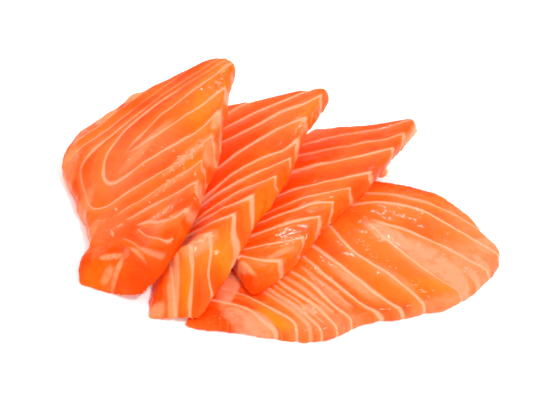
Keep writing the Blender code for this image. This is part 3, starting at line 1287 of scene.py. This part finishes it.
RIGHT_LINES = (
    FatLine(((1.5, -25), (-3, -24.5), (-7.5, -22.5), (-10, -21))),
    FatLine(((6.5, -17.5), (3, -18.5), (-2, -18.5), (-7.5, -19))),
    FatLine(((10.5, -10), (7.5, -10.5), (1.5, -12), (-5, -14))),
    FatLine(((14.5, -4.5), (10, -4.5), (4.5, -6.5), (-3, -9))),
    FatLine(((20, 1), (14.5, 0), (6, -2), (-2, -5.5))),
    FatLine(((25.5, 7.5), (18, 5.5), (10, 4), (1.5, 2))),
    FatLine(((31, 17), (25, 15.5), (15.5, 14), (4.5, 12))),
    FatLine(((34.5, 23), (28.5, 21.5), (20, 21), (10.5, 20)), ((-1, 2, 0.6),)),
    FatLine(((36, 29), (28, 27), (18.5, 27), (10, 25.5)), ((-1, 2, 0.5),)),
)
RIGHT_SHEETS = (FatSheets(RIGHT_LINES, echo=0.2),)
FLAT_LINES = (
    FatLine(((-14, -31), (-10.2, -32.6), (-6.8, -34.5), (-3.8, -37.6), (-0.5, -40.4), (1, -42.5))),
    FatLine(((-12.5, -27), (-8.2, -29.6), (-5, -32), (0.8, -36), (4.1, -38.6), (5.2, -42))),
    FatLine(((-6.5, -26.5), (-3, -29.2), (0.8, -32.4), (4.5, -35.6), (7.6, -39), (9, -43)), ((-1, 2, 0.6),)),
    FatLine(((-4.3, -26), (-0.3, -29.6), (3.6, -33), (7.3, -36.4), (10.6, -40), (12, -43)), ((-1, 2, 0.8),)),
    FatLine(((-2.2, -25.4), (2, -29.4), (6, -33), (9.8, -36.8), (12.8, -40), (14, -43)), ((-1, 0.8, 0.6),)),
    FatLine(((-0.5, -24.6), (4.3, -29.2), (8.8, -32.9), (12.6, -36.8), (15.4, -40), (16.3, -43))),
    FatLine(((1, -23.4), (6.2, -27.8), (11.2, -32.7), (15.4, -36.6), (18, -40)), ((-1, 0.75, 0.6),)),
    FatLine(((2.7, -21.8), (8.2, -26.3), (13.7, -32.6), (18.2, -36.3), (20.7, -40)), ((-1, 2, 1),)),
    FatLine(((4.6, -19.2), (10.8, -25.5), (17.8, -32.3), (23, -35.8)), ((0.1, 0.8, 0.45),)),
    FatLine(((6.5, -16.5), (13.5, -25), (22, -32.5), (28, -35))),
    FatLine(((8.5, -12.5), (17.5, -21.5), (26.5, -30), (33, -34))),
    FatLine(((13.5, -5), (20, -15.5), (29, -23), (37, -31), (40, -35))),
    FatLine(((22.5, -3.5), (26, -7.5), (32, -15), (40, -22.5), (48, -28), (52, -31.5)), ((0.1, 2, 1),)),
    FatLine(((22.5, -2.5), (28, -5), (35, -8), (45.5, -14), (55, -19.5), (59, -22)), ((0.1, 2, 1),)),
    FatLine(((18.5, 2), (26.5, 3), (38, 0.5), (48.5, -7), (56, -12), (61.5, -15))),
    FatLine(((22, 7), (30.5, 6.5), (39.5, 4), (47.5, -0.5), (55, -6), (60.5, -10)), ((-1, 2, 0.7),)),
)
FLAT_SHEETS = (FatSheets(FLAT_LINES, before=1.4, after=1.5, echo=0.0),)

LEFT_PATCHES = (
    Patch(-57, 15, 8, 2.6, 78, 0.9),
    Patch(-52, 1, 6, 2, 65, 0.6),
    Patch(-49, -8, 4, 1.4, 60, 0.5),
    Patch(-46.6, 30.8, 3.4, 1.5, 30, 1.8),
    Patch(-39.4, 34.6, 2.8, 1.4, 30, 1.8),
    Patch(-38, 10, 11, 9, 20, 1.0, Tint.VEIL, 1.2),
    Patch(-37.5, 11, 5, 1.6, 40, 0.7, Tint.PALE_AND_HIGHLIGHT, 1.0),
    Patch(-32, 17, 5, 1.4, 40, 0.6, Tint.PALE_AND_HIGHLIGHT, 1.0),
    Patch(-44, -8, 5, 6, 60, 0.8, Tint.VEIL, 1.2),
    Patch(-18, 27, 13, 5, 72, 0.8, Tint.GOLD, 1.2),
    Patch(-21, 8, 10, 4, 70, 0.7, Tint.GOLD, 1.2),
    Patch(-47, -22.5, 5, 3.5, 15, 0.8, Tint.GOLD, 1.0),
    Patch(-42.7, -19.2, 3.2, 0.8, -12, 1.4),
    Patch(-41.3, -22.8, 3.4, 0.7, 55, 1.2),
    Patch(-43.8, -22.3, 1.8, 1.1, 20, 1.3),
    # Painted highlight along the crest of the foot's lip.
    Patch(-34.8, -22.4, 3.2, 0.35, -50, 1.6),
    Patch(-38.5, -20.2, 1.2, 1.0, 0, 0.8),
    Patch(-16.2, 15.5, 3, 0.9, 75, 1.5),
    Patch(-17.5, 6, 4.5, 1.2, 72, 1.4),
    # Pale streaks along the fat lines near the crease: fat, with painted highlight streaks under the bead
    # scatters.
    Patch(-22.5, 5.5, 8, 1.7, 40, 1.0, Tint.PALE_AND_HIGHLIGHT, 1.0),
    Patch(-27, -3.5, 6, 1.2, 28, 0.4),
    Patch(-30, -13.6, 5, 1.2, 4, 0.5),
    Patch(-26.5, -17.2, 3, 0.8, 10, 0.7),
    # Painted shade on the shadowed right wall of the foot, next to the middle slice.
    Patch(-31.5, -27.5, 5.5, 4.5, 0, 0.9, Tint.CREVICE_SHADE, 1.0),
    Patch(-28, -23, 4, 2.5, 20, 0.8, Tint.CREVICE_SHADE, 1.0),
)
LEFT_FOLDS = (
    Fold(
        ((-47, -18.5), (-43.5, -17.2), (-40, -17.5), (-36.5, -20.5), (-33.5, -23.5), (-32, -26)),
        1.3, 1.0,
    ),
    Fold(((-49, -13), (-44, -13.5), (-39, -14.5), (-34.5, -19), (-29, -23.5)), -1.3, 1.6),
    Fold(((-43, -18.5), (-42, -21), (-43.5, -23)), 0.5, 0.7),
    Fold(((-36, -12.5), (-32, -13.5), (-28, -15.5), (-23.5, -16)), 0.35, 0.7),
    Fold(((-36, -13.5), (-33, -17.5), (-29.5, -20.5), (-25, -20)), 0.35, 0.7),
    Fold(((-56, 24), (-50, 26), (-43, 30), (-34, 36)), 0.5, 1.1),
    Fold(((-53.5, 14), (-50, 18.5), (-44, 22)), 0.4, 0.7),
    Fold(((-49, 30), (-46.6, 31), (-44.5, 32.5)), 0.8, 0.9),
    Fold(((-41.5, 33.8), (-39.4, 34.8), (-37.5, 36)), 0.8, 0.9),
)
MIDDLE_PATCHES = (
    Patch(-26.3, -29, 8, 1.5, 87, 1.6, Tint.PALE_AND_HIGHLIGHT, 0.5),
    Patch(-31.5, -33, 2.8, 2.0, 30, 1.4),
    # Pale flesh on the foot's top edge, with a painted highlight along it.
    Patch(-23.5, -22.5, 3.5, 1.0, 15, 0.4),
    Patch(-19.5, -22.0, 4.2, 1.8, 30, 1.3, Tint.PALE_AND_HIGHLIGHT, 0.8),
    Patch(-25.5, -21.8, 3.2, 1.3, 8, 1.1, Tint.PALE_AND_HIGHLIGHT, 0.8),
    Patch(-22.8, -29, 6, 1.6, 87, 0.8, Tint.GOLD, 0.8),
    # Painted shade on the shaded right side of the foot.
    Patch(-17.5, -30, 5, 3, 60, 0.7, Tint.CREVICE_SHADE, 1.0),
    Patch(-14, -24, 6, 4, 40, 1.0, Tint.GOLD, 1.2),
    Patch(-3, -8, 9, 2.5, 48, 0.9, Tint.GOLD, 1.2),
    Patch(7.5, 22, 8, 2.2, 65, 0.5, Tint.GOLD, 1.2),
    # Painted shade in the crevice under the left slice.
    Patch(-16, 2, 14, 5, 75, 0.7, Tint.CREVICE_SHADE, 1.2),
    Patch(5, 32, 9, 3, 20, 0.4, Tint.CREVICE_SHADE, 1.2),
    Patch(-9, 20, 14, 6, 70, 0.7, Tint.CREVICE_SHADE, 1.2),
)
RIGHT_PATCHES = (
    # A pale fat line with a painted highlight under the bead scatter, and a painted highlight streak along
    # the foot's ridge.
    Patch(3, -17.8, 3.4, 0.8, 8, 0.5),
    Patch(-7.8, -26, 3.6, 0.6, -55, 1.8, Tint.PALE_AND_HIGHLIGHT, 0.8),
    Patch(0.5, -22.5, 4, 1.0, 25, 0.9, Tint.PALE_AND_HIGHLIGHT, 0.9),
    Patch(36.7, 23.0, 9, 1.3, 62, 1.7, Tint.PALE_AND_HIGHLIGHT, 0.8),
    Patch(-4, -26, 4, 3, 30, 0.5, Tint.GOLD, 1.0),
    Patch(14, -2, 10, 2.2, 50, 0.4, Tint.GOLD, 1.2),
    # Painted shade in the crevice under the middle slice.
    Patch(2, 0, 14, 5, 60, 0.7, Tint.CREVICE_SHADE, 1.2),
    Patch(10, 20, 15, 7, 25, 0.8, Tint.CREVICE_SHADE, 1.2),
)
MIDDLE_FOLDS = (
    Fold(((-28, -21.5), (-26, -23), (-23, -23.2), (-21, -24.5), (-20.5, -28)), 0.5, 0.7),
    Fold(((-30.5, -28), (-29, -30.5), (-29.5, -33.5)), -0.6, 0.8),
)
RIGHT_FOLDS = (
    Fold(((-10, -23), (-8.3, -25), (-6.2, -28.5)), 0.5, 0.6),
    Fold(((-9, -22), (-4, -21.5), (0, -22.5)), -0.4, 0.9),
)
FLAT_FOLDS = (
    Fold(((-14, -30), (-8, -30.5), (-2, -34), (4, -38.5), (4.5, -42)), 0.35, 0.6),
    Fold(((24, -5), (34, -8.5), (45, -15), (55, -21)), 0.35, 0.8),
    Fold(((24, -5.5), (32, -15), (40, -23), (50, -30)), 0.35, 0.8),
    Fold(((19, 2), (28, 3), (40, -0.5), (50, -8), (58, -13)), 0.35, 0.8),
)
FLAT_PATCHES = (
    Patch(30, -10, 8, 2.4, -38, 1.4),
    Patch(40, -18, 12, 4.2, -38, 1.1, Tint.PALE_AND_HIGHLIGHT, 0.8),
    Patch(37, -14.5, 6, 1.0, -40, 1.6, Tint.PALE_AND_HIGHLIGHT, 1.0),
    Patch(44, -19.5, 5, 1.2, -30, 1.6, Tint.PALE_AND_HIGHLIGHT, 1.0),
    Patch(51, -22, 4, 1.2, -55, 1.6, Tint.PALE_AND_HIGHLIGHT, 1.0),
    Patch(53.5, -17.5, 3.5, 1.0, -50, 1.6, Tint.PALE_AND_HIGHLIGHT, 1.0),
    Patch(46.5, -24, 5, 2.2, -60, 1.6, Tint.PALE_AND_HIGHLIGHT, 0.8),
    Patch(50, -18, 8, 6, -30, 0.7, Tint.PALE_AND_HIGHLIGHT, 1.2),
    Patch(55, -11, 3.5, 3, -40, 1.0, Tint.PALE_AND_HIGHLIGHT, 1.0),
    Patch(53, -16, 7, 5, -60, 0.6, Tint.PALE_AND_HIGHLIGHT, 1.2),
    Patch(30, -24, 7, 1.6, -40, 0.5, Tint.PALE_AND_HIGHLIGHT, 0.9),
    Patch(20, -26, 7, 1.8, -42, 0.9, Tint.PALE_AND_HIGHLIGHT, 0.9),
    Patch(14, -30, 6, 1.4, -42, 0.8, Tint.PALE_AND_HIGHLIGHT, 0.9),
    Patch(9, -35, 4.5, 1.6, -8, 0.9, Tint.PALE_AND_HIGHLIGHT, 0.7),
    Patch(46, 2, 9, 4, -45, 0.4, Tint.GOLD, 1.2),
    Patch(-12.4, -26, 6.5, 2.7, 76, 2.2, Tint.PALE_AND_HIGHLIGHT, 0.3),
    Patch(-7.5, -37, 7, 2.8, -28, 1.7, Tint.PALE_AND_HIGHLIGHT, 0.4),
    Patch(-1, -37.2, 5, 1.6, -35, 1.3, Tint.GOLD, 0.6),
    # Painted shade on the left tip, under the middle slice's foot.
    Patch(-18.5, -31, 5, 3.4, 60, 0.9, Tint.CREVICE_SHADE, 0.9),
    Patch(46, -30, 12, 2.4, 18, 0.55, Tint.PALE_AND_HIGHLIGHT, 1.2),
    Patch(40, -27, 12, 3.5, 10, 0.5, Tint.GOLD, 1.2),
    Patch(14, -38, 9, 2.5, 8, 0.5, Tint.PALE_AND_HIGHLIGHT, 1.2),
    Patch(50, -4, 8, 3, -60, 0.35, Tint.PALE_AND_HIGHLIGHT, 1.2),
    # Painted shade in the crevice under the right slice's wall.
    Patch(12, -13, 8, 3.5, -45, 0.6, Tint.CREVICE_SHADE, 1.2),
)
SPRINKLES = (
    Sprinkle("slice_flat", 14.0, -26.0, 9.0, 2.0, -42.0, 20, 0.08, 0.20),
    Sprinkle("slice_flat", 26.0, -17.0, 9.0, 2.0, -42.0, 16, 0.08, 0.18),
    Sprinkle("slice_flat", 36.0, -27.0, 9.0, 1.6, -30.0, 10, 0.08, 0.20),
    Sprinkle("slice_flat", 50.0, -20.0, 6.0, 4.0, -30.0, 24, 0.10, 0.26),
    Sprinkle("slice_flat", 9.0, -35.0, 4.0, 1.2, -12.0, 14, 0.14, 0.34),
    Sprinkle("slice_left", -23.0, 5.0, 8.0, 1.6, 38.0, 70, 0.12, 0.32),
    Sprinkle("slice_left", -27.0, -3.5, 7.0, 1.4, 30.0, 30, 0.10, 0.24),
    Sprinkle("slice_left", -30.5, -13.6, 6.0, 1.0, 4.0, 24, 0.10, 0.26),
    Sprinkle("slice_left", -36.0, 10.0, 9.0, 5.0, 28.0, 14, 0.10, 0.20),
    Sprinkle("slice_left", -42.7, -4.1, 0.2, 0.2, 0.0, 1, 0.4, 0.45),
    Sprinkle("slice_left", -43.2, -11.2, 0.2, 0.2, 0.0, 2, 0.45, 0.5),
    Sprinkle("slice_left", -42.5, -19.5, 2.4, 0.4, -12.0, 8, 0.12, 0.26),
    Sprinkle("slice_left", -26.5, -17.2, 2.0, 0.3, 8.0, 6, 0.14, 0.3),
    Sprinkle("slice_middle", -19.5, -22.0, 3.0, 0.7, 30.0, 16, 0.14, 0.30),
    Sprinkle("slice_middle", -27.0, -22.0, 2.5, 0.5, 8.0, 8, 0.12, 0.26),
    Sprinkle("slice_middle", 6.5, 18.5, 2.5, 0.6, 60.0, 8, 0.12, 0.28),
    Sprinkle("slice_right", 3.5, -17.8, 3.0, 0.7, 10.0, 12, 0.12, 0.28),
)
DROPS = (
    Drop("slice_right", (28.5, 13.3, 7.3), 1.7),
    Drop("slice_right", (-9.7, -21.9, 10.6), 0.7),
)


def slices() -> list[SalmonSlice]:
    """Describes the four slices, from the lowest to the top one.

    Returns:
        The slices.
    """
    return [
        SalmonSlice(
            "slice_flat",
            "flesh_flat",
            FLAT_SHEETS,
            finish=FleshFinish(
                middle=tone(254, 102, 20),
                bright=tone(254, 126, 44),
                pale=tone(253, 148, 106),
                line_width=0.36,
                shade_width=1.3,
                vein_strength=0.65,
            ),
            patches=FLAT_PATCHES,
            folds=FLAT_FOLDS,
            turns=False,
            seed=11.0,
        ),
        SalmonSlice(
            "slice_right", "flesh_right", RIGHT_SHEETS, patches=RIGHT_PATCHES, folds=RIGHT_FOLDS, seed=37.0
        ),
        SalmonSlice(
            "slice_middle",
            "flesh_middle",
            MIDDLE_SHEETS,
            patches=MIDDLE_PATCHES,
            folds=MIDDLE_FOLDS,
            seed=59.0,
        ),
        SalmonSlice(
            "slice_left",
            "flesh_left",
            LEFT_SHEETS,
            finish=FleshFinish(line_width=0.34, line_strength=0.75),
            patches=LEFT_PATCHES,
            folds=LEFT_FOLDS,
            wall_start=-23.5,
            soft_below=-11.0,
            lean=0.25,
            seed=83.0,
        ),
    ]


def main() -> None:
    """Builds the slices and the studio."""
    logging.basicConfig(level=logging.INFO, format="%(message)s")
    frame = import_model()
    Studio().build()
    groups = FleshGroups()
    skins = {}
    for piece in slices():
        made = piece.build(frame)
        piece.dress(made, groups)
        skins[piece.node] = made
        LOG.info("%s: %d cells", made.name, len(made.data.polygons))
    moisture = Moisture(SPRINKLES, DROPS)
    beads = moisture.build(skins)
    moisture.dress(beads)
    LOG.info("%s: %d cells", beads.name, len(beads.data.polygons))


if __name__ == "__main__":
    main()
